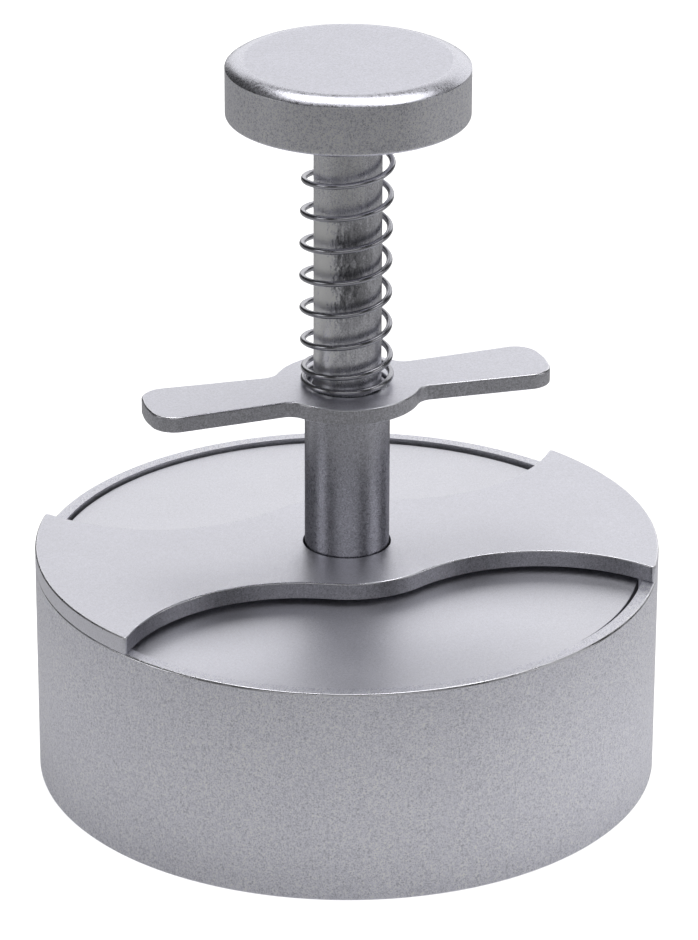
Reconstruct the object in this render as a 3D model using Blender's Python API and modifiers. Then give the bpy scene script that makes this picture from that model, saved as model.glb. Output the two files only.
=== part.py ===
"""Hand patty press: a mould ring with a bridge plate across its rim, a guide
sleeve with a winged finger grip, and a spring-loaded plunger (knob, rod and
press plate) that slides and turns in the sleeve.

Metres, +Z up.  The origin is on the plunger's axis, at the plane the ring
stands on.  The bridge and the wings lie along X.
"""

import math

import bmesh
import bpy

MM = 0.001
GAP = 0.3 * MM                 # clearance between pieces that rest on each other

# ---------------------------------------------------------------- dimensions
# mould ring
RING_R = 59.0 * MM             # outer radius
RING_WALL = 2.6 * MM
RING_H = 42.0 * MM
RING_CHAMFER = 0.35 * MM
RING_STEPS = 88

# bridge plate
BRIDGE_T = 3.0 * MM
BRIDGE_HUB_R = 19.7 * MM       # bulge in the middle
BRIDGE_WAIST_R = 32.83 * MM    # radius of the hollow on each side of the bulge
BRIDGE_WAIST_DIR = math.radians(63.22)  # direction of that hollow's centre
BRIDGE_CORNER = 1.3 * MM
BRIDGE_HOLE_R = 8.3 * MM
EDGE_BREAK = 0.25 * MM

# locating pins between rim and bridge
PIN_R = 0.6 * MM
PIN_HOLE_R = 0.9 * MM
PIN_LENGTH = 6.0 * MM
PIN_IN_RIM = 4.0 * MM
PIN_ANGLE = math.radians(17.0)

# guide sleeve
SLEEVE_R = 8.0 * MM
SLEEVE_BORE_R = 6.68 * MM
SPIGOT_R = 7.5 * MM            # upper end, inside the wing grip's hub
SPIGOT_BELOW_TOP = 0.5 * MM
SLEEVE_STEPS = 48

# lock ring under the bridge
LOCK_R = 11.0 * MM
LOCK_BORE_R = 8.3 * MM
LOCK_T = 1.95 * MM
LOCK_SLOT = 2.0 * MM

# wing grip
WING_TOP = 77.9 * MM
WING_T = 3.0 * MM
WING_HUB_R = 13.8 * MM
WING_HOLE_R = 7.8 * MM
WING_HALF_LENGTH = 38.95 * MM
WING_ROOT_HALF = 6.3 * MM      # half width where an arm leaves the hub
WING_ROOT_X = 14.0 * MM
WING_FLARE = math.radians(2.9)
WING_TIP_CORNER = 4.6 * MM
WING_FILLET = 3.5 * MM         # hollow between hub and arm

# set screw through the wing hub's rear, against the sleeve's spigot
SET_SCREW_R = 0.75 * MM
SET_HOLE_R = 1.05 * MM
SET_SUNK = 0.3 * MM            # its outer end below the hub's surface
SET_SOCKET_R = 0.42 * MM
SET_SOCKET_DEPTH = 0.9 * MM

# plunger rod
ROD_R = 6.35 * MM
ROD_STEPS = 48
ROD_CHAMFER = 0.4 * MM

# press plate
PLATE_R = 55.65 * MM
PLATE_T = 6.0 * MM
PLATE_BELOW_RIM = 0.75 * MM
RECESS_R = 13.0 * MM
PLATE_FLOOR = 2.6 * MM         # left under the recess

# countersunk plate screw
SCREW_HEAD_R = 4.7 * MM
SCREW_SHANK_R = 2.4 * MM
SCREW_LENGTH = 16.0 * MM
SCREW_SOCKET_R = 1.7 * MM      # across corners
SCREW_SOCKET_DEPTH = 1.6 * MM

# rubber stop ring
O_RING_R = 8.6 * MM
O_RING_SECTION_R = 0.75 * MM

# knob
KNOB_R = 22.55 * MM
KNOB_BASE = 130.75 * MM
KNOB_T = 10.75 * MM
KNOB_CROWN_R = 5.86 * MM       # rounding of the top edge; it meets the side at an angle
KNOB_CROWN_TURN = math.radians(40.4)
KNOB_CHAMFER = 0.6 * MM
KNOB_STEPS = 72

# stud between rod and knob
STUD_R = 3.0 * MM
STUD_HOLE_R = 3.3 * MM
STUD_IN_KNOB = 5.6 * MM
STUD_IN_ROD = 12.0 * MM

# thrust washer under the knob
WASHER_R = 9.6 * MM
WASHER_BORE_R = 6.7 * MM
WASHER_T = 0.8 * MM

# return spring
WIRE_R = 0.575 * MM
COIL_R = 8.08 * MM
OPEN_PITCH = 6.35 * MM
CLOSED_PITCH = 1.2 * MM
LOW_END = (0.10, 2.10)         # turns from each end over which the pitch opens
HIGH_END = (0.62, 1.35)
SPRING_START = math.radians(120.0)
POINTS_PER_TURN = 15

# ------------------------------------------------------------- derived levels
BRIDGE_BASE = RING_H + GAP
BRIDGE_TOP = BRIDGE_BASE + BRIDGE_T
PLATE_TOP = RING_H - PLATE_BELOW_RIM
PLATE_BASE = PLATE_TOP - PLATE_T
RECESS_FLOOR = PLATE_BASE + PLATE_FLOOR
LOCK_TOP = RING_H
LOCK_BASE = LOCK_TOP - LOCK_T
WING_BASE = WING_TOP - WING_T
ROD_BASE = RECESS_FLOOR + GAP
ROD_TOP = KNOB_BASE - GAP
WASHER_BASE = KNOB_BASE - GAP - WASHER_T
SPRING_LOW = WING_TOP + GAP + WIRE_R
SPRING_HIGH = WASHER_BASE - GAP - WIRE_R
SEAT_R = RING_R - RING_WALL / 2


# ------------------------------------------------------------------ scene tree
for old in list(bpy.data.objects):
    bpy.data.objects.remove(old, do_unlink=True)


def new_collection(name, hidden=False):
    made = bpy.data.collections.new(name)
    bpy.context.scene.collection.children.link(made)
    made.hide_render = hidden
    return made


PARTS = new_collection("patty_press")
CUTTERS = new_collection("cutters", hidden=True)


def empty(name, z=0.0, parent=None):
    made = bpy.data.objects.new(name, None)
    made.empty_display_size = 0.02
    made.location = (0.0, 0.0, z)
    made.parent = parent
    PARTS.objects.link(made)
    return made


FRAME = empty("press_frame")
SLIDE = empty("plunger_slide_axis", parent=FRAME)
TURN = empty("plunger_turn_axis", parent=SLIDE)


def material(name, colour, roughness, metallic=1.0):
    made = bpy.data.materials.new(name)
    made.use_nodes = True
    shader = made.node_tree.nodes["Principled BSDF"]
    shader.inputs["Base Color"].default_value = (*colour, 1.0)
    shader.inputs["Roughness"].default_value = roughness
    shader.inputs["Metallic"].default_value = metallic
    made.diffuse_color = (*colour, 1.0)
    made.roughness = roughness
    made.metallic = metallic
    return made


RING_METAL = material("ring_satin_aluminium", (0.62, 0.62, 0.65), 0.42)
PLATE_METAL = material("plate_satin_aluminium", (0.70, 0.70, 0.73), 0.40)
BRIDGE_METAL = material("bridge_satin_aluminium", (0.66, 0.66, 0.69), 0.42)
WING_METAL = material("wing_satin_aluminium", (0.66, 0.66, 0.69), 0.42)
SLEEVE_METAL = material("sleeve_satin_aluminium", (0.55, 0.55, 0.58), 0.38)
ROD_METAL = material("rod_worn_aluminium", (0.58, 0.58, 0.60), 0.34)
KNOB_METAL = material("knob_satin_aluminium", (0.60, 0.60, 0.63), 0.42)
SPRING_STEEL = material("spring_steel", (0.30, 0.30, 0.31), 0.22)
FIXING_STEEL = material("fixing_steel", (0.52, 0.52, 0.52), 0.30)
STOP_RUBBER = material("stop_rubber", (0.03, 0.03, 0.03), 0.80, metallic=0.0)


# --------------------------------------------------------------------- helpers
def finish(obj, metal, parent, sharp=35.0):
    obj.data.materials.clear()
    obj.data.materials.append(metal)
    obj.parent = parent
    if obj.type == "MESH":
        obj.data.shade_smooth()
        obj.data.set_sharp_from_angle(angle=math.radians(sharp))
    return obj


def mesh_object(name, mesh, collection, z=0.0):
    obj = bpy.data.objects.new(name, mesh)
    obj.location = (0.0, 0.0, z)
    collection.objects.link(obj)
    return obj


def turned(name, profile, steps, metal, parent, z=0.0, closed=True):
    """A piece turned about Z from (radius, height) points that run down the
    outer side.  A closed profile makes a ring; an open one starts and ends on
    the axis."""
    mesh = bpy.data.meshes.new(name)
    edges = [(i, i + 1) for i in range(len(profile) - 1)]
    if closed:
        edges.append((len(profile) - 1, 0))
    mesh.from_pydata([(r, 0.0, h) for r, h in profile], edges, [])
    obj = mesh_object(name, mesh, PARTS, z)
    screw = obj.modifiers.new("turn", "SCREW")
    screw.axis = "Z"
    screw.angle = math.tau
    screw.steps = steps
    screw.render_steps = steps
    screw.use_merge_vertices = True
    screw.merge_threshold = 0.00001
    screw.use_smooth_shade = True
    graph = bpy.context.evaluated_depsgraph_get()
    solid = bpy.data.meshes.new_from_object(obj.evaluated_get(graph))
    solid.name = name
    obj.modifiers.clear()
    obj.data = solid
    bpy.data.meshes.remove(mesh)
    return finish(obj, metal, parent)


def cutter_cylinder(name, radius, low, high, x=0.0, y=0.0, sides=32, turn=0.0):
    mesh = bpy.data.meshes.new(name)
    shape = bmesh.new()
    bmesh.ops.create_cone(
        shape, cap_ends=True, segments=sides, radius1=radius, radius2=radius, depth=high - low
    )
    shape.to_mesh(mesh)
    shape.free()
    obj = mesh_object(name, mesh, CUTTERS)
    obj.location = (x, y, (low + high) / 2)
    obj.rotation_euler = (0.0, 0.0, turn)
    obj.hide_render = True
    obj.display_type = "WIRE"
    return obj


def cutter_box(name, size, centre):
    mesh = bpy.data.meshes.new(name)
    shape = bmesh.new()
    bmesh.ops.create_cube(shape, size=1.0)
    bmesh.ops.scale(shape, vec=size, verts=shape.verts)
    shape.to_mesh(mesh)
    shape.free()
    obj = mesh_object(name, mesh, CUTTERS)
    obj.location = centre
    obj.hide_render = True
    obj.display_type = "WIRE"
    return obj


def cut(obj, tool):
    boolean = obj.modifiers.new("cut_" + tool.name, "BOOLEAN")
    boolean.operation = "DIFFERENCE"
    boolean.solver = "EXACT"
    boolean.object = tool
    return boolean


def arc(centre, radius, start, end, count):
    """Points on a circle from angle start to angle end, both included."""
    return [
        (
            centre[0] + radius * math.cos(start + (end - start) * i / count),
            centre[1] + radius * math.sin(start + (end - start) * i / count),
        )
        for i in range(count + 1)
    ]


def four_fold(quarter):
    """A closed outline, counter-clockwise, from its points in the +X +Y
    quarter, which run from the X axis to the Y axis."""
    left = [(-x, y) for x, y in reversed(quarter)]
    upper = quarter + left
    lower = [(x, -y) for x, y in reversed(upper)]
    outline = []
    for point in upper + lower:
        if not outline or math.dist(point, outline[-1]) > 1e-6:
            outline.append(point)
    if math.dist(outline[0], outline[-1]) < 1e-6:
        outline.pop()
    return outline


def flat_piece(name, outline, thickness, base, metal, parent, edge_break):
    """A plate cut to an outline: a filled 2D curve, extruded, then a mesh."""
    curve = bpy.data.curves.new(name, "CURVE")
    curve.dimensions = "2D"
    curve.fill_mode = "BOTH"
    curve.extrude = thickness / 2
    spline = curve.splines.new("POLY")
    spline.points.add(len(outline) - 1)
    for point, (x, y) in zip(spline.points, outline):
        point.co = (x, y, 0.0, 1.0)
    spline.use_cyclic_u = True
    drawn = bpy.data.objects.new(name + "_outline", curve)
    drawn.location = (0.0, 0.0, base + thickness / 2)
    PARTS.objects.link(drawn)
    graph = bpy.context.evaluated_depsgraph_get()
    mesh = bpy.data.meshes.new_from_object(drawn.evaluated_get(graph))
    mesh.name = name
    shape = bmesh.new()
    shape.from_mesh(mesh)
    bmesh.ops.remove_doubles(shape, verts=shape.verts, dist=0.000001)
    bmesh.ops.dissolve_limit(
        shape, angle_limit=math.radians(0.5), verts=shape.verts, edges=shape.edges
    )
    bmesh.ops.recalc_face_normals(shape, faces=shape.faces)
    shape.to_mesh(mesh)
    shape.free()
    obj = mesh_object(name, mesh, PARTS)
    obj.matrix_world = drawn.matrix_world
    obj.location = (0.0, 0.0, base + thickness / 2)
    bpy.data.objects.remove(drawn, do_unlink=True)
    bevel = obj.modifiers.new("edge_break", "BEVEL")
    bevel.width = edge_break
    bevel.segments = 1
    bevel.limit_method = "ANGLE"
    bevel.angle_limit = math.radians(60.0)
    return finish(obj, metal, parent)


# ----------------------------------------------------------------- mould ring
c = RING_CHAMFER
ring = turned(
    "mould_ring",
    [
        (RING_R - c, RING_H),
        (RING_R, RING_H - c),
        (RING_R, c),
        (RING_R - c, 0.0),
        (RING_R - RING_WALL + c, 0.0),
        (RING_R - RING_WALL, c),
        (RING_R - RING_WALL, RING_H - c),
        (RING_R - RING_WALL + c, RING_H),
    ],
    RING_STEPS,
    RING_METAL,
    FRAME,
)


# --------------------------------------------------------------- bridge plate
def bridge_outline():
    """Bulge, hollow and flared end of one quarter, tangent to each other; the
    end lies on the ring's outer radius."""
    reach = BRIDGE_HUB_R + BRIDGE_WAIST_R
    centre = (reach * math.cos(BRIDGE_WAIST_DIR), reach * math.sin(BRIDGE_WAIST_DIR))
    cos_turn = (RING_R**2 + reach**2 - BRIDGE_WAIST_R**2) / (2 * RING_R * reach)
    tip = BRIDGE_WAIST_DIR - math.acos(cos_turn)
    corner = (RING_R * math.cos(tip), RING_R * math.sin(tip))
    corner_dir = math.atan2(corner[1] - centre[1], corner[0] - centre[0])
    back_off = BRIDGE_CORNER / BRIDGE_WAIST_R
    end_arc = arc((0.0, 0.0), RING_R, 0.0, tip - BRIDGE_CORNER / RING_R, 9)
    hollow = arc(
        centre,
        BRIDGE_WAIST_R,
        corner_dir - back_off,
        BRIDGE_WAIST_DIR - math.pi,
        16,
    )
    rounded = []
    for i in (1, 2, 3):
        t = i / 4
        rounded.append(
            tuple(
                (1 - t) ** 2 * a + 2 * t * (1 - t) * b + t**2 * d
                for a, b, d in zip(end_arc[-1], corner, hollow[0])
            )
        )
    bulge = arc((0.0, 0.0), BRIDGE_HUB_R, BRIDGE_WAIST_DIR, math.pi / 2, 6)
    return four_fold(end_arc + rounded + hollow + bulge)


bridge = flat_piece(
    "bridge_plate", bridge_outline(), BRIDGE_T, BRIDGE_BASE, BRIDGE_METAL, FRAME, EDGE_BREAK
)
cut(
    bridge,
    cutter_cylinder(
        "bridge_hole", BRIDGE_HOLE_R, BRIDGE_BASE - 2 * MM, BRIDGE_TOP + 2 * MM, sides=SLEEVE_STEPS
    ),
)

# ----------------------------------------------------- locating pins, 4 places
for number, side in enumerate((PIN_ANGLE, math.pi - PIN_ANGLE, math.pi + PIN_ANGLE, -PIN_ANGLE), 1):
    x, y = SEAT_R * math.cos(side), SEAT_R * math.sin(side)
    foot = RING_H - PIN_IN_RIM
    hole = cutter_cylinder(
        f"pin_hole_{number}", PIN_HOLE_R, foot - GAP, foot + PIN_LENGTH + GAP, x, y, sides=16
    )
    cut(ring, hole)
    cut(bridge, hole)
    mesh = bpy.data.meshes.new(f"rim_pin_{number}")
    shape = bmesh.new()
    bmesh.ops.create_cone(
        shape, cap_ends=True, segments=16, radius1=PIN_R, radius2=PIN_R, depth=PIN_LENGTH
    )
    shape.to_mesh(mesh)
    shape.free()
    pin = mesh_object(f"rim_pin_{number}", mesh, PARTS)
    pin.location = (x, y, foot + PIN_LENGTH / 2)
    rounding = pin.modifiers.new("end_rounding", "BEVEL")
    rounding.width = 0.2 * MM
    rounding.segments = 1
    rounding.angle_limit = math.radians(60.0)
    finish(pin, FIXING_STEEL, FRAME)

# --------------------------------------------------------------- guide sleeve
turned(
    "guide_sleeve",
    [
        (SPIGOT_R - 0.15 * MM, WING_TOP - SPIGOT_BELOW_TOP),
        (SPIGOT_R, WING_TOP - SPIGOT_BELOW_TOP - 0.15 * MM),
        (SPIGOT_R, WING_BASE - GAP),
        (SLEEVE_R, WING_BASE - GAP),
        (SLEEVE_R, LOCK_BASE + 0.3 * MM),
        (SLEEVE_R - 0.3 * MM, LOCK_BASE),
        (SLEEVE_BORE_R + 0.3 * MM, LOCK_BASE),
        (SLEEVE_BORE_R, LOCK_BASE + 0.3 * MM),
        (SLEEVE_BORE_R, WING_TOP - SPIGOT_BELOW_TOP - 0.15 * MM),
        (SLEEVE_BORE_R + 0.15 * MM, WING_TOP - SPIGOT_BELOW_TOP),
    ],
    SLEEVE_STEPS,
    SLEEVE_METAL,
    FRAME,
)

# ------------------------------------------------------------------ lock ring
lock = turned(
    "sleeve_lock_ring",
    [
        (LOCK_R - 0.2 * MM, LOCK_T),
        (LOCK_R, LOCK_T - 0.2 * MM),
        (LOCK_R, 0.2 * MM),
        (LOCK_R - 0.2 * MM, 0.0),
        (LOCK_BORE_R, 0.0),
        (LOCK_BORE_R, LOCK_T),
    ],
    40,
    FIXING_STEEL,
    FRAME,
    z=LOCK_BASE,
)
cut(
    lock,
    cutter_box(
        "spanner_slots_x", (2 * LOCK_R + 4 * MM, LOCK_SLOT, 1.2 * MM), (0.0, 0.0, LOCK_BASE)
    ),
)


# ------------------------------------------------------------------ wing grip
def wing_outline():
    """One quarter: rounded tip, flared edge, hollow fillet and round hub."""
    slope = math.tan(WING_FLARE)

    def edge(x):
        return WING_ROOT_HALF + (x - WING_ROOT_X) * slope

    tip_x = WING_HALF_LENGTH - WING_TIP_CORNER
    tip_centre = (tip_x, edge(tip_x) - WING_TIP_CORNER / math.cos(WING_FLARE))
    tip = arc(tip_centre, WING_TIP_CORNER, 0.0, math.pi / 2 + WING_FLARE, 7)
    # The fillet's centre is WING_FILLET above the edge and touches the hub.
    lift = WING_FILLET / math.cos(WING_FLARE)
    reach = WING_HUB_R + WING_FILLET
    rise = WING_ROOT_HALF - WING_ROOT_X * slope + lift
    a, b, k = 1 + slope**2, 2 * slope * rise, rise**2 - reach**2
    centre_x = (-b + math.sqrt(b**2 - 4 * a * k)) / (2 * a)
    centre = (centre_x, rise + slope * centre_x)
    toward_hub = math.atan2(centre[1], centre[0])
    fillet = arc(centre, WING_FILLET, WING_FLARE - math.pi / 2, toward_hub - math.pi, 7)
    hub = arc((0.0, 0.0), WING_HUB_R, toward_hub, math.pi / 2, 6)
    bow = [(WING_HALF_LENGTH + 0.25 * MM, 0.0)]
    return four_fold(bow + tip + fillet + hub)


wing = flat_piece(
    "wing_grip", wing_outline(), WING_T, WING_BASE, WING_METAL, FRAME, EDGE_BREAK
)
cut(
    wing,
    cutter_cylinder(
        "wing_hole", WING_HOLE_R, WING_BASE - 2 * MM, WING_TOP + 2 * MM, sides=SLEEVE_STEPS
    ),
)

# The set screw lies along Y, level with the middle of the wing's thickness.
screw_hole = cutter_cylinder(
    "set_screw_hole", SET_HOLE_R, SPIGOT_R - 1 * MM, WING_HUB_R + 2 * MM, sides=16
)
screw_hole.location = (0.0, (SPIGOT_R - 1 * MM + WING_HUB_R + 2 * MM) / 2, WING_TOP - WING_T / 2)
screw_hole.rotation_euler = (math.pi / 2, 0.0, 0.0)
cut(wing, screw_hole)

set_low, set_high = SPIGOT_R + GAP, WING_HUB_R - SET_SUNK
mesh = bpy.data.meshes.new("wing_set_screw")
shape = bmesh.new()
bmesh.ops.create_cone(
    shape,
    cap_ends=True,
    segments=16,
    radius1=SET_SCREW_R,
    radius2=SET_SCREW_R,
    depth=set_high - set_low,
)
shape.to_mesh(mesh)
shape.free()
set_screw = mesh_object("wing_set_screw", mesh, PARTS)
set_screw.location = (0.0, (set_low + set_high) / 2, WING_TOP - WING_T / 2)
set_screw.rotation_euler = (math.pi / 2, 0.0, 0.0)
set_ends = set_screw.modifiers.new("end_rounding", "BEVEL")
set_ends.width = 0.15 * MM
set_ends.segments = 1
set_ends.angle_limit = math.radians(60.0)
set_socket = cutter_cylinder(
    "set_screw_socket", SET_SOCKET_R, set_high - SET_SOCKET_DEPTH, set_high + 1 * MM, sides=6
)
set_socket.location = (0.0, set_high + (1 * MM - SET_SOCKET_DEPTH) / 2, WING_TOP - WING_T / 2)
set_socket.rotation_euler = (math.pi / 2, 0.0, 0.0)
cut(set_screw, set_socket)
finish(set_screw, FIXING_STEEL, FRAME)


# -------------------------------------------------------------- return spring
def end_rise(turns, end):
    """Height gained from a closed end over the given number of turns."""
    first, last = end
    span = last - first
    u = min(max((turns - first) / span, 0.0), 1.0)
    opened = span * (u**3 - u**4 / 2) + max(turns - last, 0.0)
    return CLOSED_PITCH * turns + (OPEN_PITCH - CLOSED_PITCH) * opened


def spring_turns():
    """Number of turns that fills the gap between wing grip and washer."""
    ends = end_rise(LOW_END[1], LOW_END) + end_rise(HIGH_END[1], HIGH_END)
    open_turns = (SPRING_HIGH - SPRING_LOW - ends) / OPEN_PITCH
    return LOW_END[1] + HIGH_END[1] + open_turns


def spring_path():
    total = spring_turns()
    count = round(total * POINTS_PER_TURN)
    points = []
    for i in range(count + 1):
        turns = total * i / count
        if turns <= total / 2:
            z = SPRING_LOW + end_rise(turns, LOW_END)
        else:
            z = SPRING_HIGH - end_rise(total - turns, HIGH_END)
        angle = SPRING_START + math.tau * turns
        points.append((COIL_R * math.cos(angle), COIL_R * math.sin(angle), z))
    return points


wire = bpy.data.curves.new("return_spring", "CURVE")
wire.dimensions = "3D"
wire.bevel_depth = WIRE_R
wire.bevel_resolution = 2
wire.use_fill_caps = True
coil = wire.splines.new("POLY")
path = spring_path()
coil.points.add(len(path) - 1)
for point, (x, y, z) in zip(coil.points, path):
    point.co = (x, y, z, 1.0)
spring = bpy.data.objects.new("return_spring", wire)
PARTS.objects.link(spring)
wire.materials.append(SPRING_STEEL)
spring.parent = FRAME

# -------------------------------------------------------------- thrust washer
turned(
    "spring_top_washer",
    [
        (WASHER_R - 0.15 * MM, WASHER_T),
        (WASHER_R, WASHER_T - 0.15 * MM),
        (WASHER_R, 0.15 * MM),
        (WASHER_R - 0.15 * MM, 0.0),
        (WASHER_BORE_R, 0.0),
        (WASHER_BORE_R, WASHER_T),
    ],
    40,
    FIXING_STEEL,
    SLIDE,
    z=WASHER_BASE,
)

# --------------------------------------------------------------- plunger rod
stud_floor = ROD_TOP - STUD_IN_ROD - GAP
screw_roof = PLATE_BASE + SCREW_LENGTH + 2 * GAP
turned(
    "plunger_rod",
    [
        (0.0, stud_floor),
        (STUD_HOLE_R, stud_floor),
        (STUD_HOLE_R, ROD_TOP),
        (ROD_R - ROD_CHAMFER, ROD_TOP),
        (ROD_R, ROD_TOP - ROD_CHAMFER),
        (ROD_R, ROD_BASE + ROD_CHAMFER),
        (ROD_R - ROD_CHAMFER, ROD_BASE),
        (SCREW_SHANK_R + GAP, ROD_BASE),
        (SCREW_SHANK_R + GAP, screw_roof),
        (0.0, screw_roof),
    ],
    ROD_STEPS,
    ROD_METAL,
    TURN,
    closed=False,
)

# ---------------------------------------------------------------- press plate
sink_r = SCREW_HEAD_R + GAP
sink_h = sink_r - SCREW_SHANK_R - GAP
turned(
    "press_plate",
    [
        (PLATE_R - 0.4 * MM, PLATE_T),
        (PLATE_R, PLATE_T - 0.4 * MM),
        (PLATE_R, 0.3 * MM),
        (PLATE_R - 0.3 * MM, 0.0),
        (sink_r, 0.0),
        (SCREW_SHANK_R + GAP, sink_h),
        (SCREW_SHANK_R + GAP, PLATE_FLOOR),
        (RECESS_R, PLATE_FLOOR),
        (RECESS_R, PLATE_T),
    ],
    RING_STEPS,
    PLATE_METAL,
    TURN,
    z=PLATE_BASE,
)

# ---------------------------------------------------------------- plate screw
head_h = SCREW_HEAD_R - SCREW_SHANK_R
screw = turned(
    "plate_screw",
    [
        (0.0, SCREW_LENGTH),
        (SCREW_SHANK_R - 0.3 * MM, SCREW_LENGTH),
        (SCREW_SHANK_R, SCREW_LENGTH - 0.3 * MM),
        (SCREW_SHANK_R, head_h),
        (SCREW_HEAD_R, 0.0),
        (0.0, 0.0),
    ],
    24,
    FIXING_STEEL,
    TURN,
    z=PLATE_BASE,
    closed=False,
)
cut(
    screw,
    cutter_cylinder(
        "hex_socket",
        SCREW_SOCKET_R,
        PLATE_BASE - 1 * MM,
        PLATE_BASE + SCREW_SOCKET_DEPTH,
        sides=6,
    ),
)

# ------------------------------------------------------------ rubber stop ring
bpy.ops.mesh.primitive_torus_add(
    major_radius=O_RING_R,
    minor_radius=O_RING_SECTION_R,
    major_segments=32,
    minor_segments=8,
    location=(0.0, 0.0, RECESS_FLOOR + GAP + O_RING_SECTION_R),
)
stop = bpy.context.active_object
stop.name = "stop_o_ring"
stop.data.name = "stop_o_ring"
for held in list(stop.users_collection):
    held.objects.unlink(stop)
PARTS.objects.link(stop)
finish(stop, STOP_RUBBER, TURN, sharp=80.0)

# ----------------------------------------------------------------------- knob
knob_rim = arc(
    (KNOB_R - KNOB_CROWN_R * math.sin(KNOB_CROWN_TURN), KNOB_T - KNOB_CROWN_R),
    KNOB_CROWN_R,
    math.pi / 2,
    math.pi / 2 - KNOB_CROWN_TURN,
    6,
)
turned(
    "press_knob",
    [(0.0, KNOB_T)]
    + knob_rim
    + [
        (KNOB_R, KNOB_CHAMFER),
        (KNOB_R - KNOB_CHAMFER, 0.0),
        (STUD_HOLE_R, 0.0),
        (STUD_HOLE_R, STUD_IN_KNOB + GAP),
        (0.0, STUD_IN_KNOB + GAP),
    ],
    KNOB_STEPS,
    KNOB_METAL,
    TURN,
    z=KNOB_BASE,
    closed=False,
)

# ------------------------------------------------------------------ knob stud
mesh = bpy.data.meshes.new("knob_stud")
shape = bmesh.new()
bmesh.ops.create_cone(
    shape,
    cap_ends=True,
    segments=32,
    radius1=STUD_R,
    radius2=STUD_R,
    depth=STUD_IN_ROD + STUD_IN_KNOB,
)
shape.to_mesh(mesh)
shape.free()
stud = mesh_object("knob_stud", mesh, PARTS)
stud.location = (0.0, 0.0, ROD_TOP - STUD_IN_ROD + (STUD_IN_ROD + STUD_IN_KNOB) / 2)
lead_in = stud.modifiers.new("lead_in", "BEVEL")
lead_in.width = 0.4 * MM
lead_in.segments = 1
lead_in.angle_limit = math.radians(60.0)
finish(stud, FIXING_STEEL, TURN)
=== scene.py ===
import math

import bmesh
import bpy
import numpy as np
from mathutils import Matrix, Vector
from mathutils.geometry import tessellate_polygon


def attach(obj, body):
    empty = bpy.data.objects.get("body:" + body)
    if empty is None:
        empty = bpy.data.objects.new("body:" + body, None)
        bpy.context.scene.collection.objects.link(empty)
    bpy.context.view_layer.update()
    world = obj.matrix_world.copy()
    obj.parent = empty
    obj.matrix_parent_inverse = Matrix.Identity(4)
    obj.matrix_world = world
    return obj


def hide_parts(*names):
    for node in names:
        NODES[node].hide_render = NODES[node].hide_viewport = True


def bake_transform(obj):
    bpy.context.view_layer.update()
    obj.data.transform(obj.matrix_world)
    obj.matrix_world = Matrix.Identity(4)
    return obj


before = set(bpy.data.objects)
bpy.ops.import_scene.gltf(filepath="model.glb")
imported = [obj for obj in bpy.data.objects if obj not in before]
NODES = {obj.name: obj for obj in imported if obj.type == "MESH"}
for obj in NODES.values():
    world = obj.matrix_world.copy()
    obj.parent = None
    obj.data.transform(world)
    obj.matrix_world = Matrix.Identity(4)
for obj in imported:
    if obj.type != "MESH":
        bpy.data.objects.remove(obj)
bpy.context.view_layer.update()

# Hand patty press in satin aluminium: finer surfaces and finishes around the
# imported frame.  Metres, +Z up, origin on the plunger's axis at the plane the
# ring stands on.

MM = 0.001


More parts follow.
